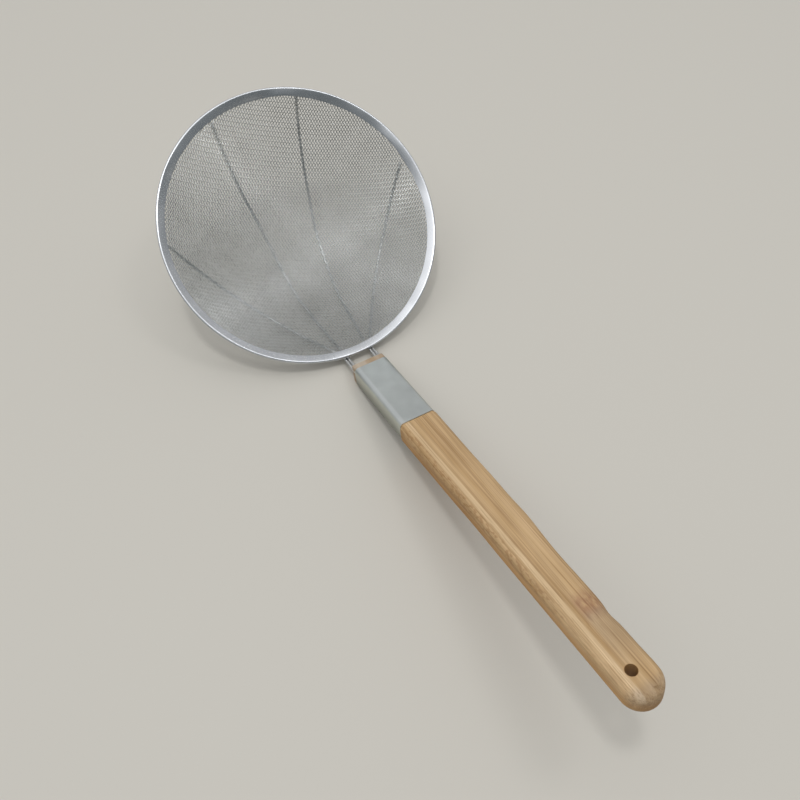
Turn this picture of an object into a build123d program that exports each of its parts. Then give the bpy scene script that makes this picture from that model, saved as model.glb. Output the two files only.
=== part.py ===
from build123d import *
from math import acos, asin, atan2, cos, degrees, hypot, radians, sin, sqrt
import os

# Long-handled mesh skimmer: a dished wire-cloth bowl in a folded steel rim, four ribs under it,
# and a bamboo handle whose tongue and rib tails are held by a folded steel ferrule.
# All lengths are in millimetres, all named angles in degrees.
# The skimmer lies as it does on a table: the inner ribs and the tongue's nose touch z = 0,
# and the origin is on the table, under the middle of the whole skimmer.

# Rim: one strip rolled round a core wire, its two leaves gripping the edge of the cloth; the
# upper leaf runs smoothly on over the bead
rim_diameter = 220.0
core_wire_diameter = 1.4
rim_sheet = 0.4
core_clearance = 0.15
band_reach = 5.7
band_slope = 33.0
lap_arc = 7.0
core_butt_arc = 0.6

# Bowl: woven steel cloth pressed into a shallow cap. A plain grid of openings stands for the
# weave's far finer ones; each opening takes the weave's own share of its cell's side.
bowl_depth = 47.4
cloth_thickness = 0.3
cloth_clearance = 0.05
cloth_end_gap = 0.2
cloth_openings_across = 10
cloth_open_share = 0.73
cloth_turn = -23.4
cloth_margin = 1.5

# Ribs: four round wires, in two pairs
rib_diameter = 2.4
rib_seat = 0.1
rib_tip_lap = 0.2
inner_tip_angle = 20.5
outer_tip_angle = 78.5
rib_pair_gap = 0.1
rib_weld_gap = 0.05
rib_bend_radius = 7.0
rib_bend_back = 5.0
rib_tail_in_ferrule = 50.0

# Neck: how the handle leaves the rim
neck_angle = 48.3
neck_run = 22.2

# Ferrule: a flat sleeve folded from sheet, its butt seam on the underside
ferrule_width = 27.8
ferrule_thickness = 17.1
ferrule_length = 73.4
ferrule_sheet = 0.6
ferrule_corner = 3.0
seam_gap = 0.5

# Brad: one nail through the seam into the tongue
brad_diameter = 1.6
brad_length = 10.0
brad_head_diameter = 3.4
brad_head_thickness = 0.6
brad_clearance = 0.05
brad_from_rear = 12.5

# Handle: one piece of bamboo with a tongue at its front end
tongue_clearance = 0.05
tongue_nose = 6.5
tongue_nose_round = 1.2
groove_clearance = 0.05
rib_height = 2.75
shoulder_gap = 0.2
handle_front_width = 30.0
handle_front_thickness = 17.8
handle_end_radius = 12.4
handle_end_thickness = 16.7
handle_edge_round = 5.0
handle_front_round = 0.8
hole_from_ferrule = 299.4
hole_to_end = 17.5
hole_off_middle = 1.8
hole_diameter = 7.0
hole_edge_round = 0.3

overrun = 5.0

# Sizes that follow
core_void_radius = core_wire_diameter / 2 + core_clearance
bead_radius = core_void_radius + rim_sheet
bead_ring_radius = rim_diameter / 2 - bead_radius
slot_half = cloth_thickness / 2 + cloth_clearance
leaf_rise = bead_radius - rim_sheet - slot_half
slope = radians(band_slope)
band_edge_radius = bead_ring_radius - band_reach * cos(slope) - leaf_rise * sin(slope)
band_edge_height = leaf_rise * cos(slope) - band_reach * sin(slope)

cap_radius = (band_edge_radius**2 + bowl_depth**2) / (2 * bowl_depth)
cap_centre = band_edge_height - bowl_depth + cap_radius
cap_edge_angle = asin(band_edge_radius / cap_radius)

rib_radius = rib_diameter / 2
rib_shell_radius = cap_radius + cloth_thickness / 2 + rib_seat + rib_radius
rib_tip_radius = band_edge_radius + rib_tip_lap
outer_lane = ferrule_width / 2 - ferrule_sheet - groove_clearance - rib_radius
inner_lane = outer_lane - rib_diameter - rib_pair_gap

# The rib tails pass just under the bead and leave it along the handle
neck = radians(neck_angle)
bead_at_lane = sqrt(bead_ring_radius**2 - inner_lane**2)
touch_offset = bead_radius + rib_weld_gap + rib_radius
touch_u = bead_at_lane + touch_offset * sin(neck)
touch_w = -touch_offset * cos(neck)
bend_u = touch_u - rib_bend_back * cos(neck)
bend_w = touch_w - rib_bend_back * sin(neck)
tail_length = neck_run + rib_tail_in_ferrule

# Middle of the ferrule's front end, in the rim's own axes (u towards the handle, w up)
front_u = touch_u + neck_run * cos(neck) + rib_height * sin(neck)
front_w = touch_w + neck_run * sin(neck) - rib_height * cos(neck)

handle_length = hole_from_ferrule + hole_to_end
end_centre = handle_length - handle_end_radius
tongue_width = ferrule_width - 2 * (ferrule_sheet + tongue_clearance)
tongue_thickness = ferrule_thickness - 2 * (ferrule_sheet + tongue_clearance)
brad_along = ferrule_length - brad_from_rear


def on_handle(along, across):
    """Rim-axes place (u, w) of a point on the handle's middle plane."""
    u = front_u + along * cos(neck) - across * sin(neck)
    w = front_w + along * sin(neck) + across * cos(neck)
    return u, w


def height(tilt, u, w):
    """Height above the rim's centre once the rim plane is tilted down towards the handle."""
    return w * cos(tilt) - u * sin(tilt)


def reach(tilt, u, w):
    """Distance along the table from the rim's centre."""
    return u * cos(tilt) + w * sin(tilt)


def rib_plan(tip_angle, lane):
    """A rib's upright plane: its foot below the rim's axis, its direction, both ends along it."""
    tip_u = -rib_tip_radius * cos(radians(tip_angle))
    tip_v = rib_tip_radius * sin(radians(tip_angle))
    run = hypot(bend_u - tip_u, lane - tip_v)
    along_u = (bend_u - tip_u) / run
    along_v = (lane - tip_v) / run
    tip_along = tip_u * along_u + tip_v * along_v
    foot_u = tip_u - tip_along * along_u
    foot_v = tip_v - tip_along * along_v
    arc_radius = sqrt(rib_shell_radius**2 - foot_u**2 - foot_v**2)
    bend_along = tip_along + run
    bend_drop = bend_w - cap_centre
    leave_angle = atan2(bend_drop, bend_along) - acos(arc_radius / hypot(bend_along, bend_drop))
    return foot_u, foot_v, along_u, along_v, arc_radius, tip_along, leave_angle


def rib_low(tilt):
    """Lowest point of the inner ribs below the rim's centre."""
    foot_u, foot_v, along_u, along_v, arc_radius, tip_along, leave_angle = rib_plan(
        inner_tip_angle, inner_lane
    )
    lean = atan2(along_u * sin(tilt), cos(tilt))
    low_along = arc_radius * min(sin(lean), cos(leave_angle))
    low_w = cap_centre - sqrt(arc_radius**2 - low_along**2)
    arc_low = height(tilt, foot_u + low_along * along_u, low_w)
    return min(arc_low, height(tilt, bend_u, bend_w)) - rib_radius


def handle_low(tilt):
    """Lowest point of the ferrule's and the tongue's front ends."""
    half = ferrule_thickness / 2
    ferrule_edge = height(tilt, *on_handle(0, -half))
    nose_across = tongue_nose_round - tongue_thickness / 2
    nose_edge = height(tilt, *on_handle(tongue_nose_round - tongue_nose, nose_across))
    return min(ferrule_edge, nose_edge - tongue_nose_round)


# Rest tilt of the rim plane, where the ribs and the ferrule reach equally low
flat_tilt = 0.0
steep_tilt = neck
for halving in range(50):
    rest_tilt = (flat_tilt + steep_tilt) / 2
    if handle_low(rest_tilt) > rib_low(rest_tilt):
        flat_tilt = rest_tilt
    else:
        steep_tilt = rest_tilt
handle_rise = neck - rest_tilt

# Middle of the whole length, from the far side of the rim to the handle's end
far_reach = -bead_ring_radius * cos(rest_tilt) - bead_radius
end_along = handle_length - handle_edge_round
end_across = handle_edge_round - handle_end_thickness / 2
end_reach = reach(rest_tilt, *on_handle(end_along, end_across)) + handle_edge_round
rim_centre = Vector(-(far_reach + end_reach) / 2, 0, -rib_low(rest_tilt))

rim_out = Vector(cos(rest_tilt), 0, -sin(rest_tilt))
rim_up = Vector(sin(rest_tilt), 0, cos(rest_tilt))
sideways = Vector(0, 1, 0)
handle_out = Vector(cos(handle_rise), 0, sin(handle_rise))
handle_up = Vector(-sin(handle_rise), 0, cos(handle_rise))
rim_plane = Plane(origin=rim_centre, x_dir=rim_out, z_dir=rim_up)
rim_axis = Axis(rim_centre, rim_up)
front_centre = rim_centre + rim_out * front_u + rim_up * front_w
handle_plane = Plane(origin=front_centre, x_dir=handle_out, z_dir=handle_up)
handle_section = Plane(origin=front_centre, x_dir=sideways, z_dir=handle_out)
handle_side = Plane(origin=front_centre, x_dir=handle_out, z_dir=-sideways)


def rim_section(turn):
    """Upright plane through the rim's axis, turned from the handle side towards +Y."""
    outward = rim_out * cos(radians(turn)) + sideways * sin(radians(turn))
    return Plane(origin=rim_centre, x_dir=outward, z_dir=outward.cross(rim_up))


def strip_section(turn):
    """The same plane at the bead's centre: x down the band, y out of its upper side."""
    upright = rim_section(turn)
    inward = upright.x_dir * -cos(slope) - rim_up * sin(slope)
    bead_centre = upright.from_local_coords((bead_ring_radius, 0, 0))
    return Plane(origin=bead_centre, x_dir=inward, z_dir=-upright.z_dir)


def finish(piece, name):
    """Names a finished piece and writes it."""
    piece.label = name
    export_step(piece, f"parts/{name}.step")
    print(f"{name}: {piece.volume:.1f} mm3, valid {piece.is_valid}")


os.makedirs("parts", exist_ok=True)

# Core wire, bent to a hoop whose ends meet under the rim's lap
with BuildPart() as core_wire:
    with BuildSketch(rim_section(core_butt_arc / 2)):
        with Locations((bead_ring_radius, 0)):
            Circle(core_wire_diameter / 2)
    revolve(axis=rim_axis, revolution_arc=360 - core_butt_arc)
finish(core_wire.part, "rim_core_wire")

# Rim strip: a bead rolled round the core wire and two leaves, and the lap where its ends meet,
# one sheet higher over the bead and the upper leaf
lap_reach = band_reach - rim_sheet
lap_top = bead_radius + rim_sheet


def strip_profile():
    """The strip's own section, with the void for the core wire and the slot for the cloth."""
    Circle(bead_radius)
    with Locations((band_reach / 2, leaf_rise)):
        Rectangle(band_reach, 2 * (slot_half + rim_sheet))
        Rectangle(band_reach, 2 * slot_half, mode=Mode.SUBTRACT)
    Circle(core_void_radius, mode=Mode.SUBTRACT)


with BuildPart() as rim:
    with BuildSketch(strip_section(lap_arc / 2)):
        strip_profile()
    revolve(axis=rim_axis, revolution_arc=360 - lap_arc)
    with BuildSketch(strip_section(-lap_arc / 2)):
        Circle(lap_top)
        Rectangle(lap_reach, lap_top, align=Align.MIN)
        Rectangle(band_reach, bead_radius, align=Align.MIN, mode=Mode.SUBTRACT)
        Rectangle(band_reach, lap_top, align=(Align.MIN, Align.MAX), mode=Mode.SUBTRACT)
        strip_profile()
    revolve(axis=rim_axis, revolution_arc=lap_arc)
finish(rim.part, "rim")

# Cloth bowl: a cap, a crease, and the sloping edge that the rim's leaves grip; the grid of
# openings is cut through the cap and ends short of the crease
cloth_half = cloth_thickness / 2
edge_length = band_reach - core_void_radius - cloth_end_gap
open_radius = band_edge_radius - cloth_margin
cell = 2 * open_radius / cloth_openings_across
opening = cell * cloth_open_share
middle = (cloth_openings_across - 1) / 2
grid_steps = [cell * (number - middle) for number in range(cloth_openings_across)]
opening_places = [(u, v) for u in grid_steps for v in grid_steps if hypot(u, v) + opening / 2 < open_radius]
grid_out = rim_out * cos(radians(cloth_turn)) + sideways * sin(radians(cloth_turn))
grid_plane = Plane(origin=rim_centre, x_dir=grid_out, z_dir=rim_up)
with BuildPart() as bowl:
    with BuildSketch(rim_section(0)):
        with BuildLine():
            under = CenterArc((0, cap_centre), cap_radius + cloth_half, -90, degrees(cap_edge_angle))
            over = CenterArc((0, cap_centre), cap_radius - cloth_half, -90, degrees(cap_edge_angle))
            Line(under @ 0, over @ 0)
            Line(under @ 1, over @ 1)
        make_face()
    with BuildSketch(strip_section(0)):
        with Locations((band_reach - edge_length / 2, leaf_rise)):
            Rectangle(edge_length, cloth_thickness)
        with Locations((band_reach, leaf_rise)):
            Circle(cloth_half)
    revolve(axis=rim_axis, revolution_arc=360)
    with BuildSketch(grid_plane):
        with Locations(*opening_places):
            Rectangle(opening, opening)
        Circle(open_radius, mode=Mode.INTERSECT)
    extrude(amount=band_edge_height - bowl_depth - overrun, mode=Mode.SUBTRACT)
finish(bowl.part, "mesh_bowl")

# Ribs: each follows the bowl's underside in one upright plane, leaves it in a straight run,
# bends under the rim and runs along the handle into its groove beside the tongue
rib_places = {"outer": (outer_tip_angle, outer_lane), "inner": (inner_tip_angle, inner_lane)}
for pair_name, (tip_angle, lane) in rib_places.items():
    foot_u, foot_v, along_u, along_v, arc_radius, tip_along, leave_angle = rib_plan(tip_angle, lane)
    tip_turn = -acos(tip_along / arc_radius)
    for side_name, side in (("left", -1), ("right", 1)):

        def on_arc(turn):
            """A point of the rib's arc, in the rim's axes."""
            along = arc_radius * cos(turn)
            w = cap_centre + arc_radius * sin(turn)
            u = foot_u + along * along_u
            v = side * (foot_v + along * along_v)
            return rim_plane.from_local_coords((u, v, w))

        bend = rim_plane.from_local_coords((bend_u, side * lane, bend_w))
        tail_end = bend + handle_out * (rib_bend_back + tail_length)
        with BuildPart() as rib:
            with BuildLine() as route:
                under_bowl = ThreePointArc(
                    on_arc(tip_turn), on_arc((tip_turn + leave_angle) / 2), on_arc(leave_angle)
                )
                FilletPolyline(on_arc(leave_angle), bend, tail_end, radius=rib_bend_radius)
            with BuildSketch(Plane(origin=under_bowl @ 0, z_dir=under_bowl % 0)):
                Circle(rib_radius)
            sweep()
        finish(rib.part, f"{pair_name}_rib_{side_name}")

# Ferrule: the folded sleeve, open along its seam, with the brad's hole
with BuildPart() as ferrule:
    with BuildSketch(handle_section):
        RectangleRounded(ferrule_width, ferrule_thickness, ferrule_corner)
        RectangleRounded(
            ferrule_width - 2 * ferrule_sheet,
            ferrule_thickness - 2 * ferrule_sheet,
            ferrule_corner - ferrule_sheet,
            mode=Mode.SUBTRACT,
        )
        with Locations((0, (ferrule_sheet - ferrule_thickness) / 2)):
            Rectangle(seam_gap, 2 * ferrule_sheet, mode=Mode.SUBTRACT)
    extrude(amount=ferrule_length)
    with BuildSketch(handle_plane.offset(-ferrule_thickness / 2 - overrun)):
        with Locations((brad_along, 0)):
            Circle(brad_diameter / 2 + brad_clearance)
    extrude(amount=overrun + ferrule_thickness / 2, mode=Mode.SUBTRACT)
finish(ferrule.part, "ferrule")

# Brad: a flat head on the ferrule's underside and a pointed shank
brad_section = Plane(
    origin=handle_side.from_local_coords((brad_along, -ferrule_thickness / 2, 0)),
    x_dir=handle_out,
    z_dir=-sideways,
)
brad_point = brad_length - brad_diameter
with BuildPart() as brad:
    with BuildSketch(brad_section):
        with BuildLine():
            Polyline(
                (0, -brad_head_thickness),
                (brad_head_diameter / 2, -brad_head_thickness),
                (brad_head_diameter / 2, 0),
                (brad_diameter / 2, 0),
                (brad_diameter / 2, brad_point),
                (0, brad_length),
                (0, -brad_head_thickness),
            )
        make_face()
    revolve(axis=Axis(brad_section.origin, handle_up), revolution_arc=360)
finish(brad.part, "ferrule_brad")

# Handle: tapered bar with a round end, a tongue with a groove in each flank, and a hanging hole
# drilled a little to the left of the middle
body_start = ferrule_length + shoulder_gap
body_run = end_centre - body_start
front_half = handle_front_width / 2
taper = acos(handle_end_radius / hypot(front_half, body_run)) - atan2(body_run, front_half)
round_start = end_centre + handle_end_radius * sin(taper)
round_half = handle_end_radius * cos(taper)
groove_floor = inner_lane - rib_radius - groove_clearance
groove_end = rib_tail_in_ferrule + groove_clearance
with BuildPart() as handle:
    with BuildSketch(handle_plane):
        with BuildLine():
            Polyline(
                (round_start, -round_half),
                (body_start, -front_half),
                (body_start, front_half),
                (round_start, round_half),
            )
            ThreePointArc((round_start, round_half), (handle_length, 0), (round_start, -round_half))
        make_face()
    extrude(amount=handle_front_thickness, both=True)
    with BuildSketch(handle_side):
        Polygon(
            (body_start, -handle_front_thickness / 2),
            (handle_length, -handle_end_thickness / 2),
            (handle_length, handle_end_thickness / 2),
            (body_start, handle_front_thickness / 2),
            align=None,
        )
    extrude(amount=handle_front_width, both=True, mode=Mode.INTERSECT)
    broad_faces = handle.faces().sort_by(Axis(front_centre, handle_up))
    outline = (broad_faces[0].edges() + broad_faces[-1].edges()).sort_by(Axis(front_centre, handle_out))
    fillet(outline[2:], radius=handle_edge_round)
    body_front = handle.faces().sort_by(Axis(front_centre, handle_out))[0]
    fillet(body_front.edges(), radius=handle_front_round)
    with BuildSketch(handle_section.offset(-tongue_nose)):
        RectangleRounded(tongue_width, tongue_thickness, ferrule_corner - ferrule_sheet - tongue_clearance)
    extrude(amount=tongue_nose + body_start + handle_edge_round)
    nose = handle.faces().sort_by(Axis(front_centre, handle_out))[0]
    fillet(nose.edges(), radius=tongue_nose_round)
    with BuildSketch(handle_section.offset(groove_end)):
        for side in (-1, 1):
            with Locations((side * (groove_floor + overrun / 2), rib_height)):
                Rectangle(overrun, rib_diameter + 2 * groove_clearance)
    extrude(amount=-groove_end - tongue_nose - overrun, mode=Mode.SUBTRACT)
    with BuildSketch(handle_plane):
        with Locations((hole_from_ferrule, -hole_off_middle)):
            Circle(hole_diameter / 2)
    extrude(amount=handle_front_thickness, both=True, mode=Mode.SUBTRACT)
    hole_wall = handle.faces().filter_by(GeomType.CYLINDER).filter_by(
        lambda face: abs(face.radius - hole_diameter / 2) < core_clearance
    )
    fillet(hole_wall.edges().filter_by(GeomType.LINE, reverse=True), radius=hole_edge_round)
    with BuildSketch(handle_plane.offset(-handle_front_thickness / 2)):
        with Locations((brad_along, 0)):
            Circle(brad_diameter / 2 + brad_clearance)
    extrude(amount=handle_front_thickness / 2 - ferrule_thickness / 2 + brad_length, mode=Mode.SUBTRACT)
finish(handle.part, "handle")
print(f"rest tilt {degrees(rest_tilt):.3f} degrees, handle rise {degrees(handle_rise):.3f} degrees")
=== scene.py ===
import bpy
import math
import numpy
from mathutils import Matrix, Vector


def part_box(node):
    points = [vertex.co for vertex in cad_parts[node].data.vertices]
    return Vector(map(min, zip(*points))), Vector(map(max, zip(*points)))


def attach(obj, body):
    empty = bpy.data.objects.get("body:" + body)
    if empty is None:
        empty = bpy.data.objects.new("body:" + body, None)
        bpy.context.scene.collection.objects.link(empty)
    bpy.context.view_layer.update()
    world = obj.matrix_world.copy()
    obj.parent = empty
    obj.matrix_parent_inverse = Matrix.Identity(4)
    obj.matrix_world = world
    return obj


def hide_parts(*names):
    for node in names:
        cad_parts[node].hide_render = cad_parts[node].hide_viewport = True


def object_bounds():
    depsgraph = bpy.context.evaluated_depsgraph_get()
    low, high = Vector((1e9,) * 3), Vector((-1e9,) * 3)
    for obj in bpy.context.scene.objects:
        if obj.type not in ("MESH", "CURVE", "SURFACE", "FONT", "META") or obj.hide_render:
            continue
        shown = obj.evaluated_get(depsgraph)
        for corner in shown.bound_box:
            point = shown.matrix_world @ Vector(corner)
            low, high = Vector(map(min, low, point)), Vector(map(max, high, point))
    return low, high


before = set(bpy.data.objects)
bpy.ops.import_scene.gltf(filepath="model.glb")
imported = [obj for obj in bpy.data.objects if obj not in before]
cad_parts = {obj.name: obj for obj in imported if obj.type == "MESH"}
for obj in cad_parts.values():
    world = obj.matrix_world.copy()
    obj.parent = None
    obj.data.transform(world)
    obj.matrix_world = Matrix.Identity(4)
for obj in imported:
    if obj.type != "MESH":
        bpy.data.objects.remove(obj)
cad_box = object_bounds()

# Long-handled mesh skimmer: woven steel cloth in a rolled rim, four wire ribs, a folded steel
# ferrule and a bamboo handle. Lengths are in metres.

MM = 0.001

# Points closer than the first are merged; points closer than the second count as one place
WELD = 0.001 * MM
NEAR = 0.01 * MM

# Rim and cloth, as in the solids
CORE_WIRE = 1.4 * MM
RIM_SHEET = 0.4 * MM
RIM_RADIUS = 109.98 * MM
BEAD_RADIUS = 1.25 * MM
BAND_REACH = 5.7 * MM
BAND_SLOPE = math.radians(33.0)
LAP_ARC = math.radians(7.0)
# The strip's leaves: how far the cloth between them lies above the bead's middle, the runs that
# each leaf is drawn in, and their crown
LEAF_RISE = 0.65 * MM
LEAF_RUNS = 6
LEAF_CROWN = 0.1 * MM
# The rolled bead's sides, and in degrees round it where the sheets begin and end, and the slack
# by which its points are chosen
ROLL_SIDES = 24
ROLL_START = 90
ROLL_END = 375
LAP_END = 270
ROLL_SLACK = 1
RIM_STEPS = 240
LAP_STEPS = 5
LEAF_EDGE_ROUND = 0.12 * MM
# The band's waver; each of its waves has a share of it, a number round the ring and a turn. On
# the handle's side a share of the waver is left, and it grows to the whole on the far side
BAND_WAVE = 0.55 * MM
BAND_WAVES = ((1.0, 8, 2.84), (0.6, 13, 1.4), (0.35, 21, 0.2))
NEAR_WAVE_SHARE = 0.35
FAR_SIDE = (-0.2, 0.6)
WAVE_FADE = 15.0 * MM
BOWL_DEPTH = 47.4 * MM
NECK_ANGLE = math.radians(48.3)

# Handle, measured along itself from the ferrule's front end, and across from its middle
FERRULE_LENGTH = 73.4 * MM
BODY_START = 73.6 * MM
HANDLE_LENGTH = 316.9 * MM
FRONT_WIDTH = 30.0 * MM
FRONT_THICKNESS = 17.8 * MM
END_RADIUS = 12.4 * MM
END_THICKNESS = 16.7 * MM
EDGE_ROUND = 5.0 * MM
HOLE_ALONG = 299.4 * MM
HOLE_ASIDE = -1.8 * MM
HOLE_RADIUS = 3.5 * MM
NODE_ALONG = 262.0 * MM
TONGUE_NOSE = 6.5 * MM
TONGUE_WIDTH = 26.5 * MM
TONGUE_THICKNESS = 15.8 * MM
RIB_LEVEL = 2.75 * MM
GROOVE_FLOOR = 8.3 * MM
GROOVE_WIDTH = 2.5 * MM
GROOVE_CUT = 3 * GROOVE_WIDTH
ROUND_SIDES = 64
GRAIN_VOXEL = 0.9 * MM
FRONT_ROUND = 0.8 * MM
NOSE_ROUND = 1.2 * MM
RIB_TAIL = 50.05 * MM
BRAD_RADIUS = 0.85 * MM
BRAD_DEPTH = 10.4 * MM
BRAD_ALONG = 60.9 * MM

# Hand carving. Each swell is its height, its middle along the handle and its half width, in
# millimetres
RIGHT_SWELLS = ((0.9, 186, 15), (0.5, 150, 22), (0.5, 301, 9), (-0.4, 222, 16), (-1.0, 266.5, 6))
LEFT_SWELLS = ((0.3, 170, 20),)
TOP_SWELLS = ((0.2, 262, 5), (-0.2, 271, 8))
FLANK_REACH = (2.0 * MM, 11.0 * MM)
TOP_REACH = (3.0 * MM, 7.0 * MM)
SCALLOP_DEPTH = 0.35 * MM
SCALLOP_RUN = 4.4 * MM
SCALLOP_REACH = (150.0 * MM, 190.0 * MM)
SCALLOP_MEAN = 0.6
NICK_PLACE = (312.8 * MM, 3.6 * MM)
NICK_WIDTH = 1.0 * MM
NICK_REACH = 2.6 * MM
NICK_LEAN = 0.3
NICK_LEVEL = (1.0 * MM, 5.0 * MM)
NICK_DEPTH = 1.1 * MM
NICK_PULL = 0.5 * MM

SIDEWAYS = Vector((0, 1, 0))


def frame_at(place, x, y, z):
    """The frame with its origin at the place and its axes along the three directions."""
    return Matrix.Translation(place) @ Matrix((x, y, z)).transposed().to_4x4()


# The core wire is an even ring, so its box gives the rim's centre and its tilt
core_low, core_high = (Vector(corner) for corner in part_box("rim_core_wire"))
core_size = core_high - core_low
RIM_CENTRE = (core_low + core_high) / 2
RIM_TILT = math.asin((core_size.z - CORE_WIRE) / (core_size.y - CORE_WIRE))
RIM_OUT = Vector((math.cos(RIM_TILT), 0, -math.sin(RIM_TILT)))
RIM_UP = Vector((math.sin(RIM_TILT), 0, math.cos(RIM_TILT)))
RIM_FRAME = frame_at(RIM_CENTRE, RIM_OUT, SIDEWAYS, RIM_UP)

# The ferrule is an even sleeve, so the middle of its box is its own middle
HANDLE_RISE = NECK_ANGLE - RIM_TILT
ferrule_low, ferrule_high = (Vector(corner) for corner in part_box("ferrule"))
FERRULE_MIDDLE = (ferrule_low + ferrule_high) / 2
HANDLE_OUT = Vector((math.cos(HANDLE_RISE), 0, math.sin(HANDLE_RISE)))
HANDLE_UP = Vector((-math.sin(HANDLE_RISE), 0, math.cos(HANDLE_RISE)))
FERRULE_FRONT = FERRULE_MIDDLE - HANDLE_OUT * FERRULE_LENGTH / 2
HANDLE_FRAME = frame_at(FERRULE_FRONT, HANDLE_OUT, SIDEWAYS, HANDLE_UP)

# The bead's middle, the crease where the band meets the bowl, the cap that the bowl is, and the
# crease in the flat cloth
BEAD_RING = RIM_RADIUS - BEAD_RADIUS
CREASE_RADIUS = BEAD_RING - BAND_REACH * math.cos(BAND_SLOPE) - LEAF_RISE * math.sin(BAND_SLOPE)
CREASE_HEIGHT = LEAF_RISE * math.cos(BAND_SLOPE) - BAND_REACH * math.sin(BAND_SLOPE)
CAP_RADIUS = (CREASE_RADIUS**2 + BOWL_DEPTH**2) / (2 * BOWL_DEPTH)
CAP_CENTRE = CREASE_HEIGHT - BOWL_DEPTH + CAP_RADIUS
CAP_ANGLE = math.asin(CREASE_RADIUS / CAP_RADIUS)
FLAT_CREASE = CAP_RADIUS * CAP_ANGLE

# Weave. The cloth is stretched across the corners of its squares, which sets its wires askew,
# and then turned
WIRE = 0.7 * MM
WIRE_SIDES = 5
PITCH = 2.15 * MM
CRIMP = 0.3 * MM
CLOTH_TUCK = 3.6 * MM
CLOTH_TURN = math.radians(-22.0)
CLOTH_STRETCH = (1.298, 0.842)
CLOTH_LIFT = 0.5 * MM
PRESSED_SHARE = 0.55
PRESS_RUN = 3.0 * MM

# Where each rib is bent aside: places along the rim's x, and the shifts there, in millimetres
RIB_BENDS = {
    "outer_rib_left": ((0,), (0,)),
    "inner_rib_left": ((-92, -50, -10, 20, 45), (3.7, 4.7, 4.7, 2.2, 0)),
    "inner_rib_right": ((-100, -60, -30, -5, 50, 80), (2.2, 1.0, 0, -1.8, -1.8, 0)),
    "outer_rib_right": ((-25, 0, 20), (-2.2, -1.0, 0)),
}

# Camera, placed in the rim's own axes: towards the handle, to the right, up from the rim. The
# lens and the sensor are in millimetres
CAMERA_PLACE = Vector((129.0, -166.3, 609.7)) * MM
CAMERA_AIM = Vector((157.05, 15.35, 0.0)) * MM
CAMERA_UP = Vector((-0.915, 0.396, 0.075))
LENS = 36.0
SENSOR = 36.0


def rim_direction(vector):
    """A direction given in the rim's axes, in the scene's."""
    return RIM_OUT * vector.x + SIDEWAYS * vector.y + RIM_UP * vector.z


def rim_point(vector):
    return RIM_CENTRE + rim_direction(vector)


def make_camera():
    place = rim_point(CAMERA_PLACE)
    forward = (rim_point(CAMERA_AIM) - place).normalized()
    right = forward.cross(rim_direction(CAMERA_UP)).normalized()
    up = right.cross(forward)
    data = bpy.data.cameras.new("camera")
    data.lens = LENS
    data.sensor_width = SENSOR
    camera = bpy.data.objects.new("camera", data)
    bpy.context.scene.collection.objects.link(camera)
    camera.matrix_world = frame_at(place, right, up, -forward)
    bpy.context.scene.camera = camera


# Shared modelling steps


def deselect():
    bpy.ops.object.select_all(action="DESELECT")


def only(piece):
    deselect()
    piece.select_set(True)
    bpy.context.view_layer.objects.active = piece


def edit(piece):
    only(piece)
    bpy.ops.object.mode_set(mode="EDIT")
    bpy.ops.mesh.select_mode(type="VERT")


def edit_all(piece):
    edit(piece)
    bpy.ops.mesh.select_all(action="SELECT")


def leave_edit():
    bpy.ops.object.mode_set(mode="OBJECT")


def points_of(piece):
    flat = numpy.empty(len(piece.data.vertices) * 3, dtype=numpy.float32)
    piece.data.vertices.foreach_get("co", flat)
    return flat.reshape(-1, 3)


def move_points(piece, points):
    piece.data.vertices.foreach_set("co", points.astype(numpy.float32).ravel())
    piece.data.update()


def select_points(piece, wanted):
    """Goes into edit mode with the vertices selected where wanted is true."""
    edit(piece)
    bpy.ops.mesh.select_all(action="DESELECT")
    leave_edit()
    piece.data.vertices.foreach_set("select", wanted)
    edit(piece)


def add_modifier(piece, kind, **settings):
    modifier = piece.modifiers.new(kind.lower(), kind)
    for name, value in settings.items():
        setattr(modifier, name, value)
    only(piece)
    bpy.ops.object.modifier_apply(modifier=modifier.name)


def round_edges(piece, width, segments, angle, clamp=False):
    """Rounds every edge that turns by more than the angle, in degrees."""
    add_modifier(
        piece, "BEVEL", width=width, segments=segments, limit_method="ANGLE",
        angle_limit=math.radians(angle), use_clamp_overlap=clamp,
    )


def repeat(piece, count, stride, **settings):
    """Sets copies of the piece in a row, one stride apart."""
    add_modifier(
        piece, "ARRAY", count=count, use_relative_offset=False, use_constant_offset=True,
        constant_offset_displace=stride, **settings,
    )


def ease(value, low, high):
    """Goes smoothly from 0 to 1 as the value goes from low to high."""
    share = numpy.clip((value - low) / (high - low), 0, 1)
    return share * share * (3 - 2 * share)


def swell(value, middle, width):
    """A bump of height 1 at the middle."""
    return numpy.exp(-(((value - middle) / width) ** 2))


def swells(along, rows):
    """The sum of several bumps along the handle."""
    return sum(high * MM * swell(along, middle * MM, wide * MM) for high, middle, wide in rows)


def join(pieces, name):
    deselect()
    for piece in pieces:
        piece.select_set(True)
    bpy.context.view_layer.objects.active = pieces[0]
    bpy.ops.object.join()
    pieces[0].name = name
    return pieces[0]


def copy_of(piece, name):
    double = piece.copy()
    double.data = piece.data.copy()
    double.name = name
    bpy.context.scene.collection.objects.link(double)
    return double


def outwards(piece):
    """Turns the faces outwards."""
    edit_all(piece)
    bpy.ops.mesh.normals_make_consistent(inside=False)
    leave_edit()


def smooth(piece, angle):
    """Shades the piece smooth, but for edges that turn by more than the angle, in degrees."""
    only(piece)
    bpy.ops.object.shade_smooth_by_angle(angle=math.radians(angle))


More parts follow.
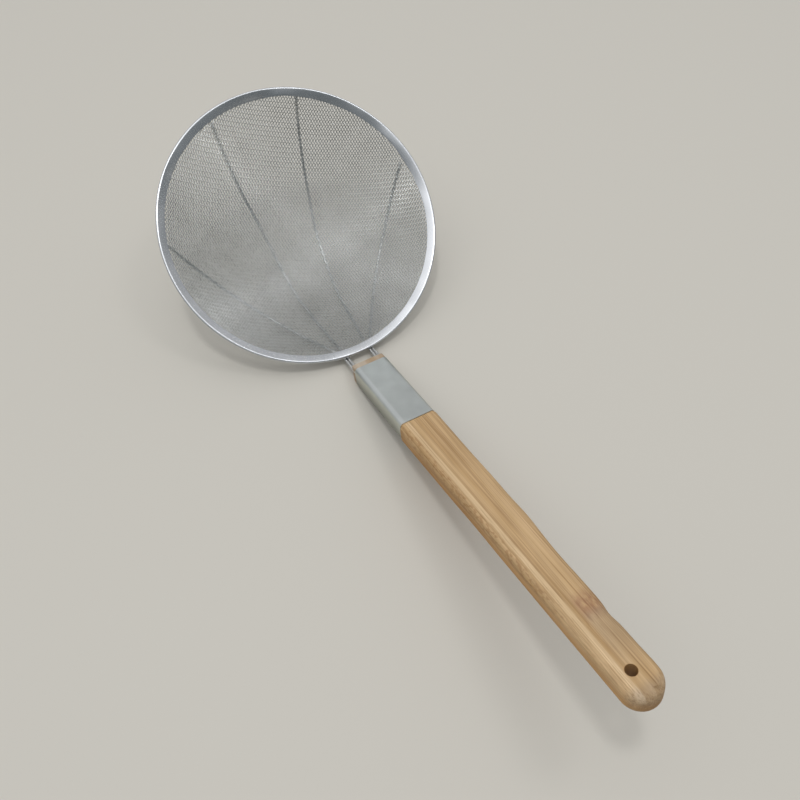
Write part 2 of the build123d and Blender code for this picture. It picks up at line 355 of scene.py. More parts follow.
def clean_surface(piece, angle=40):
    """Merges doubles, turns the faces outwards and smooths all but the sharp edges."""
    edit_all(piece)
    bpy.ops.mesh.remove_doubles(threshold=WELD)
    bpy.ops.mesh.normals_make_consistent(inside=False)
    leave_edit()
    smooth(piece, angle)


def settle(piece, name, place, material):
    """Puts a piece made at the origin in its place, and gives it its finish."""
    piece.data.transform(place)
    piece.data.update()
    piece.name = name
    piece.data.name = name
    piece.data.materials.clear()
    piece.data.materials.append(material)
    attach(piece, "root")


# Woven cloth


def bowl_height(radius):
    """Height of the bowl's surface in the rim's frame: the cap, then the slope under the band."""
    cap = CAP_CENTRE - numpy.sqrt(CAP_RADIUS**2 - numpy.minimum(radius, CREASE_RADIUS) ** 2)
    return cap + numpy.maximum(radius - CREASE_RADIUS, 0) * math.tan(BAND_SLOPE)


def dished(points):
    """Lays flat cloth on the bowl: round the cap, then up the slope, pressed in the rim's band."""
    reach = numpy.hypot(points[:, 0], points[:, 1])
    safe = numpy.maximum(reach, WELD)
    pressed = ease(reach, FLAT_CREASE - PRESS_RUN, FLAT_CREASE)
    rise = points[:, 2] * (1 - PRESSED_SHARE * pressed) + CLOTH_LIFT * (1 - pressed)
    turn = numpy.minimum(reach / CAP_RADIUS, CAP_ANGLE)
    beyond = numpy.maximum(reach - FLAT_CREASE, 0)
    lean = numpy.where(beyond > 0, BAND_SLOPE, turn)
    radius = CAP_RADIUS * numpy.sin(turn) + beyond * math.cos(BAND_SLOPE) - rise * numpy.sin(lean)
    height = CAP_CENTRE - CAP_RADIUS * numpy.cos(turn) + beyond * math.sin(BAND_SLOPE)
    height = height + rise * numpy.cos(lean)
    return numpy.column_stack((points[:, 0] / safe * radius, points[:, 1] / safe * radius, height))


def make_crimped_pair():
    """Two neighbouring wires over two crossings, bent over and under in turn."""
    deselect()
    bpy.ops.mesh.primitive_circle_add(
        vertices=WIRE_SIDES, radius=WIRE / 2,
        location=(-PITCH / 2, PITCH / 2, -CRIMP), rotation=(0, math.pi / 2, 0),
    )
    pair = bpy.context.object
    bpy.ops.object.transform_apply(location=True, rotation=True, scale=True)
    edit_all(pair)
    for rise in (2 * CRIMP, -2 * CRIMP):
        bpy.ops.mesh.extrude_region_move(TRANSFORM_OT_translate={"value": (PITCH, 0, rise)})
    bpy.ops.mesh.select_all(action="SELECT")
    bpy.ops.mesh.duplicate_move(TRANSFORM_OT_translate={"value": (-PITCH, PITCH, 0)})
    leave_edit()
    return pair


def weave_quarter(reach):
    """A square quarter of the flat cloth, as long and as wide as the reach at least."""
    step = 2 * PITCH
    pairs = math.ceil(reach / step) + 1
    warp = make_crimped_pair()
    repeat(warp, pairs + 1, (step, 0, 0), use_merge_vertices=True, merge_threshold=NEAR)
    repeat(warp, pairs, (0, step, 0))
    edit_all(warp)
    bpy.ops.mesh.bisect(plane_co=(0, 0, 0), plane_no=(1, 0, 0), clear_inner=True)
    bpy.ops.mesh.select_all(action="SELECT")
    bpy.ops.mesh.normals_make_consistent(inside=False)
    leave_edit()
    # The weft is the warp with its two directions exchanged and its bends the other way up
    weft = copy_of(warp, "weft")
    weft.data.transform(Matrix(((0, 1, 0, 0), (1, 0, 0, 0), (0, 0, -1, 0), (0, 0, 0, 1))))
    return join([warp, weft], "quarter")


def weave_cloth(radius):
    """Four quarters, drawn askew, joined and trimmed to a flat round."""
    quarter = weave_quarter(radius / min(CLOTH_STRETCH))
    askew = Matrix.Rotation(CLOTH_TURN, 4, "Z") @ Matrix.Diagonal((*CLOTH_STRETCH, 1, 1))
    quarters = []
    for number in range(4):
        part = copy_of(quarter, "cloth")
        part.data.transform(askew @ Matrix.Rotation((number + 0.5) * math.pi / 2, 4, "Z"))
        quarters.append(part)
    bpy.data.objects.remove(quarter, do_unlink=True)
    cloth = join(quarters, "wire_cloth")
    points = points_of(cloth)
    select_points(cloth, numpy.hypot(points[:, 0], points[:, 1]) > radius)
    bpy.ops.mesh.delete(type="VERT")
    bpy.ops.mesh.select_all(action="SELECT")
    bpy.ops.mesh.remove_doubles(threshold=WELD)
    bpy.ops.mesh.fill_holes(sides=WIRE_SIDES)
    leave_edit()
    return cloth


def make_cloth(material):
    """The cloth, dished and bent with the rim's band."""
    cloth = weave_cloth(FLAT_CREASE + CLOTH_TUCK)
    # How far each point stands out from the cloth's middle, on either side
    crimp = cloth.data.attributes.new("crimp", "FLOAT", "POINT")
    crimp.data.foreach_set("value", numpy.abs(points_of(cloth)[:, 2]) / (CRIMP + WIRE / 2))
    move_points(cloth, bent_by_hand(dished(points_of(cloth))))
    outwards(cloth)
    cloth.data.shade_smooth()
    settle(cloth, "wire_cloth", RIM_FRAME, material)
    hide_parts("mesh_bowl")


# Ribs


def make_rib(node, material):
    """A rib as the solids have it, bent aside as the hand-bent one is."""
    places, shifts = RIB_BENDS[node]
    rib = copy_of(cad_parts[node], node)
    clean_surface(rib)
    rib.data.transform(RIM_FRAME.inverted())
    points = points_of(rib)
    before = numpy.hypot(points[:, 0], points[:, 1])
    points[:, 1] += numpy.interp(points[:, 0], numpy.array(places) * MM, numpy.array(shifts) * MM)
    points[:, 2] += bowl_height(numpy.hypot(points[:, 0], points[:, 1])) - bowl_height(before)
    # Where the bent rib would reach under the floor, it is lifted back onto it
    height = RIM_CENTRE.z + points[:, 0] * RIM_OUT.z + points[:, 2] * RIM_UP.z
    points[:, 2] += max(cad_box[0][2] - height.min(), 0) / RIM_UP.z
    move_points(rib, points)
    settle(rib, node + "_wire", RIM_FRAME, material)
    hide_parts(node)


# Rim strip


def make_strip_section(radius, first, last, upper, lower):
    """A sheet's middle line round the bead from the first angle to the last, with its leaves."""
    deselect()
    bpy.ops.mesh.primitive_circle_add(vertices=ROLL_SIDES, radius=radius)
    section = bpy.context.object
    points = points_of(section)
    angles = numpy.degrees(numpy.arctan2(points[:, 1], points[:, 0])) % 360
    past = (angles - first + ROLL_SLACK) % 360
    select_points(section, past > last - first + 2 * ROLL_SLACK)
    bpy.ops.mesh.delete(type="VERT")
    leave_edit()
    for angle, run in ((first, upper), (last, lower)):
        points = points_of(section)
        turn = math.radians(angle)
        end = radius * numpy.array((math.cos(turn), math.sin(turn), 0))
        select_points(section, numpy.linalg.norm(points - end, axis=1) < NEAR)
        stride = ((run - end[0]) / LEAF_RUNS, 0, 0)
        for _ in range(LEAF_RUNS if run else 0):
            bpy.ops.mesh.extrude_region_move(TRANSFORM_OT_translate={"value": stride})
        leave_edit()
    points = points_of(section)
    share = numpy.clip(points[:, 0] / upper, 0, 1)
    points[:, 1] += LEAF_CROWN * 4 * share * (1 - share)
    move_points(section, points)
    return section


def stand_section(section):
    """Turns a section drawn flat so that its x runs down the band, and sets it on the bead ring."""
    along = Vector((-math.cos(BAND_SLOPE), 0, -math.sin(BAND_SLOPE)))
    across = Vector((-math.sin(BAND_SLOPE), 0, math.cos(BAND_SLOPE)))
    middle = Vector((BEAD_RING, 0, 0))
    section.data.transform(frame_at(middle, along, across, along.cross(across)))


def bent_by_hand(points):
    """The band's slope, and the cloth's edge with it, wanders round the ring, mostly far away."""
    turn = numpy.arctan2(points[:, 1], points[:, 0])
    radius = numpy.hypot(points[:, 0], points[:, 1])
    share = numpy.clip((BEAD_RING - radius) / (BAND_REACH * math.cos(BAND_SLOPE)), 0, 1)
    share = share * ease(radius, CREASE_RADIUS - WAVE_FADE, CREASE_RADIUS)
    wander = sum(high * numpy.cos(number * (turn - start)) for high, number, start in BAND_WAVES)
    strength = NEAR_WAVE_SHARE + (1 - NEAR_WAVE_SHARE) * ease(-numpy.cos(turn), *FAR_SIDE)
    points[:, 2] += BAND_WAVE * strength * share * wander
    return points


def roll_strip(radius, last, upper, lower, steps, angle):
    """Rolls a strip's section round the rim through the given angle, and thickens it to a sheet."""
    strip = make_strip_section(radius, ROLL_START, last, upper, lower)
    stand_section(strip)
    strip.data.transform(Matrix.Rotation(-angle / 2, 4, "Z"))
    edit_all(strip)
    bpy.ops.mesh.spin(steps=steps, angle=angle, center=(0, 0, 0), axis=(0, 0, 1))
    leave_edit()
    clean_surface(strip)
    add_modifier(strip, "SOLIDIFY", thickness=RIM_SHEET, offset=0)
    return strip


def make_rim(material):
    """The strip all round the bead, and its end lapped over it towards the handle."""
    middle = BEAD_RADIUS - RIM_SHEET / 2
    strip = roll_strip(middle, ROLL_END, BAND_REACH, BAND_REACH, RIM_STEPS, 2 * math.pi)
    lap = roll_strip(middle + RIM_SHEET, LAP_END, BAND_REACH - RIM_SHEET, 0, LAP_STEPS, LAP_ARC)
    rim = join([strip, lap], "rolled_rim")
    move_points(rim, bent_by_hand(points_of(rim)))
    clean_surface(rim)
    round_edges(rim, LEAF_EDGE_ROUND, segments=2, angle=60, clamp=True)
    smooth(rim, angle=50)
    settle(rim, "rolled_rim", RIM_FRAME, material)
    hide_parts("rim")


# Bamboo handle


def carved(points):
    """Hand-finished surface: uneven flanks, a waist behind the old node and a nick in the end."""
    along, across, up = points.T
    right = ease(across, *FLANK_REACH)
    left = ease(-across, *FLANK_REACH)
    top = ease(up, *TOP_REACH)
    shift = right * swells(along, RIGHT_SWELLS) + left * swells(along, LEFT_SWELLS)
    scallops = numpy.sin(along / SCALLOP_RUN) * ease(along, *SCALLOP_REACH) + SCALLOP_MEAN
    lift = top * (swells(along, TOP_SWELLS) - left * SCALLOP_DEPTH * scallops)
    nick = swell(along - NICK_LEAN * across, NICK_PLACE[0], NICK_WIDTH) * ease(up, *NICK_LEVEL)
    nick *= swell(across, NICK_PLACE[1], NICK_REACH)
    lift -= NICK_DEPTH * nick
    return numpy.column_stack((along - NICK_PULL * nick, across + shift, up + lift))


def make_bar(name, start, end, half_width, half_height):
    """A bar with a rectangular section."""
    deselect()
    bpy.ops.mesh.primitive_plane_add(size=2, location=(start, 0, 0), rotation=(0, math.pi / 2, 0))
    bar = bpy.context.object
    bar.name = name
    bpy.ops.object.transform_apply(location=True, rotation=True, scale=True)
    edit_all(bar)
    bpy.ops.transform.resize(value=(1, half_width, half_height), center_override=(start, 0, 0))
    bpy.ops.mesh.extrude_region_move(TRANSFORM_OT_translate={"value": (end - start, 0, 0)})
    leave_edit()
    return bar


def cut(piece, tool, operation="DIFFERENCE"):
    """Cuts the tool out of the piece, or joins it on, and clears the tool away."""
    add_modifier(piece, "BOOLEAN", operation=operation, object=tool, solver="EXACT")
    bpy.data.objects.remove(tool, do_unlink=True)


def make_rod(radius, depth, place):
    deselect()
    bpy.ops.mesh.primitive_cylinder_add(
        vertices=ROUND_SIDES, radius=radius, depth=depth, location=place
    )
    rod = bpy.context.object
    bpy.ops.object.transform_apply(location=True, rotation=True, scale=True)
    return rod


def make_blank():
    """The body's blank: its plan drawn round the end, thickened and tapered."""
    end_centre = HANDLE_LENGTH - END_RADIUS
    deselect()
    bpy.ops.mesh.primitive_circle_add(
        vertices=ROUND_SIDES, radius=END_RADIUS, location=(end_centre, 0, 0), fill_type="NGON"
    )
    body = bpy.context.object
    bpy.ops.object.transform_apply(location=True, rotation=True, scale=True)
    edit_all(body)
    bpy.ops.mesh.extrude_region_move(TRANSFORM_OT_translate={"value": (0, 0, 1)})
    leave_edit()
    points = points_of(body)
    front = points[:, 0] < end_centre - NEAR
    spare = 2 * EDGE_ROUND
    run = end_centre - BODY_START
    share = numpy.where(front, 1 + spare / run, (end_centre - points[:, 0]) / run)
    half_width = END_RADIUS + (FRONT_WIDTH / 2 - END_RADIUS) * share
    points[:, 1] *= numpy.where(front, half_width / points[front, 1].max(), 1)
    points[front, 0] = BODY_START - spare
    half_height = END_THICKNESS / 2 + (FRONT_THICKNESS - END_THICKNESS) / 2 * share
    points[:, 2] = numpy.where(points[:, 2] > NEAR, half_height, -half_height)
    move_points(body, points)
    outwards(body)
    return body


def make_body():
    """The blank rounded, cut square in front and carved."""
    body = make_blank()
    round_edges(body, EDGE_ROUND, segments=8, angle=50)
    edit_all(body)
    bpy.ops.mesh.bisect(
        plane_co=(BODY_START, 0, 0), plane_no=(1, 0, 0), clear_inner=True, use_fill=True
    )
    leave_edit()
    outwards(body)
    round_edges(body, FRONT_ROUND, segments=3, angle=60)
    add_modifier(body, "REMESH", mode="VOXEL", voxel_size=GRAIN_VOXEL)
    add_modifier(body, "SMOOTH", factor=0.5, iterations=3)
    move_points(body, carved(points_of(body)))
    return body


def make_tongue():
    """The tongue that the ferrule holds, with a groove in each flank for the rib tails."""
    half_width, half_height = TONGUE_WIDTH / 2, TONGUE_THICKNESS / 2
    tongue = make_bar("tongue", -TONGUE_NOSE, BODY_START + EDGE_ROUND, half_width, half_height)
    outwards(tongue)
    round_edges(tongue, NOSE_ROUND, segments=4, angle=60)
    for side in (-1, 1):
        groove = make_bar("groove", -2 * TONGUE_NOSE, RIB_TAIL, GROOVE_CUT, GROOVE_WIDTH / 2)
        edit_all(groove)
        bpy.ops.transform.translate(value=(0, side * (GROOVE_FLOOR + GROOVE_CUT), RIB_LEVEL))
        leave_edit()
        outwards(groove)
        cut(tongue, groove)
    return tongue


def make_handle(material):
    body = make_body()
    cut(body, make_tongue(), "UNION")
    brad_middle = (BRAD_DEPTH - FRONT_THICKNESS) / 2
    cut(body, make_rod(HOLE_RADIUS, 2 * FRONT_THICKNESS, (HOLE_ALONG, HOLE_ASIDE, 0)))
    cut(body, make_rod(BRAD_RADIUS, BRAD_DEPTH, (BRAD_ALONG, 0, brad_middle)))
    clean_surface(body, angle=50)
    settle(body, "bamboo_handle", HANDLE_FRAME, material)
    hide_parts("handle")


# Finishes

# Each steel: its darker and its lighter tone, its range of roughness, how far its grain is drawn
# out along the piece, and the grain's depth
ROLLED_STEEL = ((0.60, 0.62, 0.65), (0.68, 0.70, 0.73), (0.2, 0.32), 1.0, 0.01 * MM)
DRAWN_STEEL = ((0.55, 0.55, 0.54), (0.66, 0.66, 0.65), (0.2, 0.35), 1.0, 0.01 * MM)
CLOTH_STEEL = ((0.52, 0.54, 0.545), (0.64, 0.66, 0.665), (0.2, 0.36), 1.0, 0.005 * MM)
FERRULE_STEEL = ((0.53, 0.56, 0.55), (0.62, 0.655, 0.64), (0.25, 0.4), 0.05, 0.02 * MM)

# Patterns: scale, detail and roughness, and before these, for bamboo, how far it is drawn out
STEEL_GRAIN = (1000.0, 4.0, 0.6)
STEEL_CLOUD = (60.0, 2.0, 0.5)
BAMBOO_FIBRES = (0.006, 1400.0, 3.0, 0.6)
BAMBOO_STRIPS = (0.012, 420.0, 2.0, 0.5)
BAMBOO_PATCHES = (0.25, 90.0, 3.0, 0.5)
BAMBOO_MOTTLE = (0.5, 500.0, 3.0, 0.5)
BAMBOO_ROUGHNESS = (0.5, 0.68)
BAMBOO_SPECULAR = 0.3
FIBRE_RELIEF = (0.12 * MM, 0.6)

# The levels of a pattern between which a tone comes in
CLOUD_LEVELS = (0.3, 0.7)
NODE_MOTTLE = (0.15, 0.6)
EDGE_MOTTLE = (0.5, 0.58)

# Tones by the level of a pattern
CRIMP_WEAR_AND_SHADE_TONES = ((0.0, (0.2, 0.2, 0.2)), (0.2, (0.4, 0.4, 0.4)), (0.6, (1.2, 1.2, 1.2)))
WALL_SHADE_TONES = ((0, (0.42, 0.415, 0.36)), (1, (1.0, 0.98, 0.91)))
BAMBOO_TONES = (
    (0.32, (0.515, 0.337, 0.168)), (0.5, (0.57, 0.388, 0.208)), (0.68, (0.63, 0.44, 0.25))
)
WORN_TONES = ((0.35, (0.86, 0.84, 0.8)), (0.65, (1.0, 1.0, 1.0)))
FIBRE_TONES = ((0.32, (0.62, 0.54, 0.46)), (0.5, (0.97, 0.96, 0.94)), (0.7, (1.12, 1.12, 1.1)))
WEATHERED_TONES = ((0.4, (0.40, 0.30, 0.21)), (0.6, (0.50, 0.44, 0.37)))

STEEL_HIGHLIGHT = (0.80, 0.83, 0.84)
SHADED_STEEL = (0.22, 0.22, 0.21)
STRIP_HIGHLIGHT_TONE = (0.82, 0.63, 0.41)
NODE_BROWN = (0.37, 0.205, 0.115)
NODE_GREY = (0.42, 0.32, 0.22)
EDGE_BROWN = (0.42, 0.235, 0.105)
RUBBED_BAMBOO = (0.78, 0.58, 0.36)
DULL_TIP = (0.81, 0.84, 0.94)
FLANK_SHADE = (0.97, 0.80, 0.58)
HOLE_SHADE_BROWN = (0.36, 0.20, 0.07)

# How strongly each tone lies over the colour under it
STEEL_HIGHLIGHT_SHARE = 0.5
SHADED_STEEL_SHARE = 0.6
STRIP_SHARE = 0.55
NODE_SHARE = 0.85
BEHIND_NODE_SHARE = 0.45
BROWN_EDGE_SHARE = 0.6
RUBBED_EDGE_SHARE = 0.45
FIBRE_SHARE = 0.85
NOSE_SHARE = 0.8
HOLE_SHADE_SHARE = 0.85

# Where the features of the ferrule and the handle lie, in the handle's own axes
STEEL_HIGHLIGHT_ACROSS = (-13.0 * MM, -11.9 * MM, -10.4 * MM, -8.6 * MM)
STEEL_HIGHLIGHT_LEVEL = (6.0 * MM, 8.0 * MM)
SHADED_STEEL_ACROSS = (12.3 * MM, 13.2 * MM)
WALL_DEPTH = (-8.0 * MM, 7.0 * MM)
WALL_LEVEL = (7.6 * MM, 6.6 * MM)
STRIP_EDGES = (-11.6 * MM, -10.6 * MM, -8.2 * MM, -7.4 * MM)
STRIP_DRIFT = -0.008
STRIP_LEVEL = (2.0 * MM, 6.0 * MM)
NODE_ACROSS = (-4.0 * MM, 0.0, 9.0 * MM, 14.0 * MM)
NODE_REACH = (NODE_ALONG - 17 * MM, NODE_ALONG - 8 * MM, NODE_ALONG, NODE_ALONG + 7 * MM)
BEHIND_NODE = (NODE_ALONG - 4 * MM, NODE_ALONG + 3 * MM, NODE_ALONG + 12 * MM, NODE_ALONG + 44 * MM)
BROWN_EDGE_ACROSS = (-10.0 * MM, -11.5 * MM)
BROWN_EDGE_LEVEL = (1.0 * MM, 4.0 * MM)
RUBBED_EDGE_ALONG = (225.0 * MM, 270.0 * MM)
RUBBED_EDGE_ACROSS = (-7.0 * MM, -10.0 * MM)
TIP_ALONG = (HANDLE_LENGTH - 12 * MM, HANDLE_LENGTH - 5 * MM)
FLANK_LEVEL = (7.0 * MM, -3.0 * MM)
NOSE_ALONG = (-0.4 * MM, -1.2 * MM)
HOLE_EDGE = (HOLE_RADIUS * 1.12, HOLE_RADIUS * 0.98)


class Finish:
    """The nodes of a material or of the surroundings, with a plain word for each step in them."""

    def __init__(self, owner):
        owner.use_nodes = True
        self.material = owner
        self.nodes, self.links = owner.node_tree.nodes, owner.node_tree.links
        self.shader = self.nodes.get("Principled BSDF")

    def fill(self, socket, value):
        """Sets a socket to a number or a colour, or joins a node's output to it."""
        if isinstance(value, (int, float)):
            socket.default_value = value
        elif isinstance(value, tuple):
            socket.default_value = (*value, 1)
        else:
            self.links.new(value, socket)

    def paint(self, colour):
        self.colour = colour
        self.links.new(colour, self.shader.inputs["Base Color"])

    def axes(self, turn, drawn_out=1.0):
        """Object coordinates turned about Y; a share under 1 draws the marks out along x."""
        source = self.nodes.new("ShaderNodeTexCoord")
        level = self.nodes.new("ShaderNodeMapping")
        level.inputs["Rotation"].default_value = (0, turn, 0)
        self.links.new(source.outputs["Object"], level.inputs["Vector"])
        scaled = self.nodes.new("ShaderNodeMapping")
        scaled.inputs["Scale"].default_value = (drawn_out, 1, 1)
        self.links.new(level.outputs["Vector"], scaled.inputs["Vector"])
        return scaled.outputs["Vector"]

    def handle_place(self):
        """The place along, across and up from the middle of the ferrule's front end."""
        apart = self.nodes.new("ShaderNodeSeparateXYZ")
        self.links.new(self.axes(HANDLE_RISE), apart.inputs["Vector"])
        along = self.maths("SUBTRACT", apart.outputs["X"], FERRULE_FRONT.dot(HANDLE_OUT))
        up = self.maths("SUBTRACT", apart.outputs["Z"], FERRULE_FRONT.dot(HANDLE_UP))
        return along, apart.outputs["Y"], up

    def noise(self, turn, drawn_out, scale, detail, rough):
        """A pattern of marks in axes turned about Y, drawn out along x."""
        texture = self.nodes.new("ShaderNodeTexNoise")
        texture.inputs["Scale"].default_value = scale
        texture.inputs["Detail"].default_value = detail
        texture.inputs["Roughness"].default_value = rough
        self.links.new(self.axes(turn, drawn_out), texture.inputs["Vector"])
        return texture.outputs["Fac"]

    def ramp(self, value, stops):
        """Colour ramp from a value; stops are (place, colour) pairs."""
        colours = self.nodes.new("ShaderNodeValToRGB")
        elements = colours.color_ramp.elements
        elements[0].position, elements[0].color = stops[0][0], (*stops[0][1], 1)
        elements[1].position, elements[1].color = stops[-1][0], (*stops[-1][1], 1)
        for place, colour in stops[1:-1]:
            elements.new(place).color = (*colour, 1)
        self.links.new(value, colours.inputs["Fac"])
        return colours.outputs["Color"]

    def spread(self, value, low, high):
        """A value from 0 to 1 spread between two levels."""
        levels = self.nodes.new("ShaderNodeMapRange")
        levels.inputs["To Min"].default_value = low
        levels.inputs["To Max"].default_value = high
        self.links.new(value, levels.inputs["Value"])
        return levels.outputs["Result"]

    def window(self, value, low, high):
        """Goes smoothly from 0 to 1 as the value goes from low to high."""
        levels = self.nodes.new("ShaderNodeMapRange")
        levels.interpolation_type = "SMOOTHSTEP"
        levels.inputs["From Min"].default_value = low
        levels.inputs["From Max"].default_value = high
        self.links.new(value, levels.inputs["Value"])
        return levels.outputs["Result"]

    def maths(self, kind, first, second):
        """One arithmetic step; the second term is a number or another node's value."""
        step = self.nodes.new("ShaderNodeMath")
        step.operation = kind
        self.fill(step.inputs[0], first)
        self.fill(step.inputs[1], second)
        return step.outputs["Value"]

    def times(self, product, *factors):
        for factor in factors:
            product = self.maths("MULTIPLY", product, factor)
        return product

    def band(self, value, edges):
        """Rises from the first edge to the second, and falls from the third to the fourth."""
        rise = self.window(value, edges[0], edges[1])
        return self.times(rise, self.window(value, edges[3], edges[2]))

    def tint(self, colour, other, amount, kind="MIX"):
        """Lays another colour over a colour by an amount."""
        mix = self.nodes.new("ShaderNodeMix")
        mix.data_type = "RGBA"
        mix.blend_type = kind
        self.fill(mix.inputs["Factor"], amount)
        self.fill(mix.inputs["A"], colour)
        self.fill(mix.inputs["B"], other)
        return mix.outputs["Result"]

    def bump(self, value, depth, strength=1.0):
        relief = self.nodes.new("ShaderNodeBump")
        relief.inputs["Strength"].default_value = strength
        relief.inputs["Distance"].default_value = depth
        self.links.new(value, relief.inputs["Height"])
        self.links.new(relief.outputs["Normal"], self.shader.inputs["Normal"])


def steel(name, look, turn):
    """Steel with a drawn or brushed grain, in axes turned about Y to lie along its piece."""
    dark, light, roughness, drawn_out, depth = look
    finish = Finish(bpy.data.materials.new(name))
    grain = finish.noise(turn, drawn_out, *STEEL_GRAIN)
    cloud = finish.noise(turn, 1.0, *STEEL_CLOUD)
    finish.paint(finish.ramp(cloud, tuple(zip(CLOUD_LEVELS, (dark, light)))))
    finish.fill(finish.shader.inputs["Roughness"], finish.spread(grain, *roughness))
    finish.bump(grain, depth)
    finish.shader.inputs["Metallic"].default_value = 1.0
    return finish


def cloth_finish():
    """Drawn wire, lighter where it stands out of the cloth, partly from rubbing and partly as a
    painted highlight, and darkened by painted shade where it dips into the cloth.
    """
    finish = steel("wire_cloth_steel", CLOTH_STEEL, 0)
    crimp = finish.nodes.new("ShaderNodeAttribute")
    crimp.attribute_name = "crimp"
    # Knuckles lighter from rubbing plus a painted highlight; wire near the cloth's middle darkened
    # as painted shade
    worn_and_shaded = finish.ramp(crimp.outputs["Fac"], CRIMP_WEAR_AND_SHADE_TONES)
    finish.paint(finish.tint(finish.colour, worn_and_shaded, 1.0, "MULTIPLY"))
    return finish.material


def ferrule_finish():
    """Satin sheet with a painted highlight along its left edge, painted shade along its right edge,
    and painted shade darkening the side walls towards the bottom.
    """
    finish = steel("satin_ferrule_steel", FERRULE_STEEL, HANDLE_RISE)
    _, across, up = finish.handle_place()
    # Painted highlight along the left edge of the top face
    painted_highlight = finish.times(
        finish.band(across, STEEL_HIGHLIGHT_ACROSS), finish.window(up, *STEEL_HIGHLIGHT_LEVEL),
        STEEL_HIGHLIGHT_SHARE,
    )
    colour = finish.tint(finish.colour, STEEL_HIGHLIGHT, painted_highlight)
    shaded = finish.times(finish.window(across, *SHADED_STEEL_ACROSS), SHADED_STEEL_SHARE)
    colour = finish.tint(colour, SHADED_STEEL, shaded)
    # Painted shade: the side walls grow darker and a little warmer towards the bottom
    depth = finish.ramp(finish.window(up, *WALL_DEPTH), WALL_SHADE_TONES)
    finish.paint(finish.tint(colour, depth, finish.window(up, *WALL_LEVEL), "MULTIPLY"))
    return finish.material


def painted_highlight_strip(finish, place, colour):
    """The painted highlight: a paler strip left of the middle, which nears the middle towards the
    end.
    """
    along, across, up = place
    drift = finish.maths("ADD", across, finish.maths("MULTIPLY", along, STRIP_DRIFT))
    top = finish.window(up, *STRIP_LEVEL)
    # Painted highlight laid along the strip
    strip = finish.times(finish.band(drift, STRIP_EDGES), top, STRIP_SHARE)
    return finish.tint(colour, STRIP_HIGHLIGHT_TONE, strip)


def old_node(finish, place, mottle, colour):
    """A redder, mottled patch right of the strip, with greyer wood behind it."""
    along, across, _ = place
    beside = finish.band(across, NODE_ACROSS)
    spots = finish.window(mottle, *NODE_MOTTLE)
    patch = finish.times(finish.band(along, NODE_REACH), beside, spots, NODE_SHARE)
    colour = finish.tint(colour, NODE_BROWN, patch)
    behind = finish.times(finish.band(along, BEHIND_NODE), beside, BEHIND_NODE_SHARE)
    return finish.tint(colour, NODE_GREY, behind)


def left_edge(finish, place, mottle, colour):
    """The edge rounded by hand: browner patches along it, and paler from rubbing towards the end.
    """
    along, across, up = place
    brown = finish.times(
        finish.window(across, *BROWN_EDGE_ACROSS), finish.window(mottle, *EDGE_MOTTLE),
        finish.window(up, *BROWN_EDGE_LEVEL), BROWN_EDGE_SHARE,
    )
    colour = finish.tint(colour, EDGE_BROWN, brown)
    pale = finish.times(
        finish.window(along, *RUBBED_EDGE_ALONG), finish.window(across, *RUBBED_EDGE_ACROSS),
        RUBBED_EDGE_SHARE,
    )
    return finish.tint(colour, RUBBED_BAMBOO, pale)


def painted_hole_shade(finish, place, colour):
    """Painted shade: inside the hanging hole the wood is darkened."""
    along, across, _ = place
    flat = finish.nodes.new("ShaderNodeCombineXYZ")
    finish.links.new(along, flat.inputs["X"])
    finish.links.new(across, flat.inputs["Y"])
    away = finish.nodes.new("ShaderNodeVectorMath")
    away.operation = "DISTANCE"
    away.inputs[1].default_value = (HOLE_ALONG, HOLE_ASIDE, 0)
    finish.links.new(flat.outputs["Vector"], away.inputs[0])
    # Painted shade on the bore's wall
    inside = finish.times(finish.window(away.outputs["Value"], *HOLE_EDGE), HOLE_SHADE_SHARE)
    return finish.tint(colour, HOLE_SHADE_BROWN, inside)


def bamboo():
    """Oiled bamboo, with its grain along the handle."""
    finish = Finish(bpy.data.materials.new("oiled_bamboo"))
    place = along, _, up = finish.handle_place()
    patterns = (BAMBOO_FIBRES, BAMBOO_STRIPS, BAMBOO_PATCHES, BAMBOO_MOTTLE)
    fibres, strips, patches, mottle = (finish.noise(HANDLE_RISE, *look) for look in patterns)
    colour = painted_highlight_strip(finish, place, finish.ramp(strips, BAMBOO_TONES))
    colour = old_node(finish, place, mottle, colour)
    colour = left_edge(finish, place, mottle, colour)
    # The end is a little duller, and the flanks are a deeper brown
    colour = finish.tint(colour, DULL_TIP, finish.window(along, *TIP_ALONG), "MULTIPLY")
    colour = finish.tint(colour, FLANK_SHADE, finish.window(up, *FLANK_LEVEL), "MULTIPLY")
    colour = finish.tint(colour, finish.ramp(patches, WORN_TONES), 1.0, "MULTIPLY")
    colour = finish.tint(colour, finish.ramp(fibres, FIBRE_TONES), FIBRE_SHARE, "MULTIPLY")
    # The nose in front of the ferrule is weathered
    nose = finish.times(finish.window(along, *NOSE_ALONG), NOSE_SHARE)
    colour = finish.tint(colour, finish.ramp(patches, WEATHERED_TONES), nose)
    finish.paint(painted_hole_shade(finish, place, colour))
    finish.fill(finish.shader.inputs["Roughness"], finish.spread(fibres, *BAMBOO_ROUGHNESS))
    finish.shader.inputs["Specular IOR Level"].default_value = BAMBOO_SPECULAR
    finish.bump(fibres, *FIBRE_RELIEF)
    return finish.material


def dress(node, material):
    """Gives a piece of the solids its finish."""
    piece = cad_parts[node]
    piece.data.materials.clear()
    piece.data.materials.append(material)


# Stage

FLOOR_SIZE = 8.0
FLOOR_COLOUR = (0.62, 0.595, 0.54)
FLOOR_ROUGHNESS = 0.7

# Each lamp: the side that it shines from, its width and its power
LAMP_DISTANCE = 2.2
LAMPS = {"side": ((0.1, 0.35, 0.93), 0.4, 2.4), "key": ((0.02, -0.13, 0.99), 0.22, 6.6)}

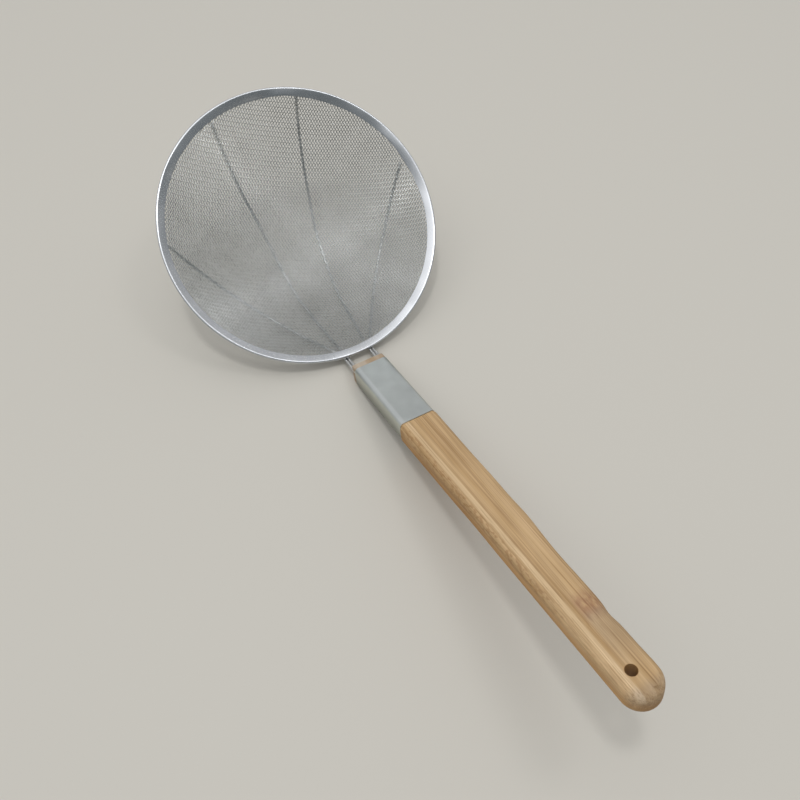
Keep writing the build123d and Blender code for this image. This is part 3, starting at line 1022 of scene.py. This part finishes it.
# Each light of the surroundings: the side that it comes from, and its colour from away from that
# side to near it
BROAD_LIGHT = (
    (-0.75, 0.1, 0.65),
    ((0.25, (0.16, 0.175, 0.18)), (0.36, (0.24, 0.255, 0.26)), (0.475, (0.26, 0.275, 0.28)),
     (0.58, (0.37, 0.38, 0.38)), (0.77, (0.57, 0.57, 0.57))),
)
OVERHEAD_LIGHT = (
    (0.0, -0.15, 0.985),
    ((0.83, (0, 0, 0)), (0.89, (0.3, 0.3, 0.3)), (0.94, (0.65, 0.65, 0.65))),
)


def make_floor():
    deselect()
    bpy.ops.mesh.primitive_plane_add(size=FLOOR_SIZE)
    floor = bpy.context.object
    floor.name = "floor"
    finish = Finish(bpy.data.materials.new("pale_floor"))
    finish.fill(finish.shader.inputs["Base Color"], FLOOR_COLOUR)
    finish.fill(finish.shader.inputs["Roughness"], FLOOR_ROUGHNESS)
    floor.data.materials.append(finish.material)


def make_lamp(name, direction, size, power):
    light = bpy.data.lights.new(name, "AREA")
    light.energy = power
    light.size = size
    lamp = bpy.data.objects.new(name, light)
    lamp.location = Vector(direction).normalized() * LAMP_DISTANCE
    lamp.rotation_euler = (-lamp.location).to_track_quat("-Z", "Y").to_euler()
    bpy.context.scene.collection.objects.link(lamp)


def glow(finish, direction, side, stops):
    """Light by how far a direction turns from the given side: 0 is away from it, 1 is at it."""
    facing = finish.nodes.new("ShaderNodeVectorMath")
    facing.operation = "DOT_PRODUCT"
    facing.inputs[1].default_value = side
    finish.links.new(direction, facing.inputs[0])
    turned = finish.nodes.new("ShaderNodeMapRange")
    turned.inputs["From Min"].default_value = -1
    finish.links.new(facing.outputs["Value"], turned.inputs["Value"])
    return finish.ramp(turned.outputs["Result"], stops)


def make_world():
    """Soft studio surroundings: a broad dim side, and a soft light overhead."""
    world = bpy.data.worlds.new("studio")
    bpy.context.scene.world = world
    finish = Finish(world)
    direction = finish.nodes.new("ShaderNodeTexCoord").outputs["Generated"]
    broad = glow(finish, direction, *BROAD_LIGHT)
    overhead = glow(finish, direction, *OVERHEAD_LIGHT)
    light = finish.tint(broad, overhead, 1.0, "ADD")
    finish.fill(finish.nodes["Background"].inputs["Color"], light)
    finish.nodes["Background"].inputs["Strength"].default_value = 1.0


make_camera()

rim_steel = steel("rolled_steel", ROLLED_STEEL, RIM_TILT).material
wire_steel = steel("drawn_wire_steel", DRAWN_STEEL, 0).material

make_cloth(cloth_finish())
make_rim(rim_steel)
for node in RIB_BENDS:
    make_rib(node, wire_steel)
dress("rim_core_wire", wire_steel)
dress("ferrule_brad", wire_steel)
dress("ferrule", ferrule_finish())
make_handle(bamboo())

make_floor()
for name, lamp in LAMPS.items():
    make_lamp(name, *lamp)
make_world()
bpy.context.scene.view_settings.view_transform = "Standard"
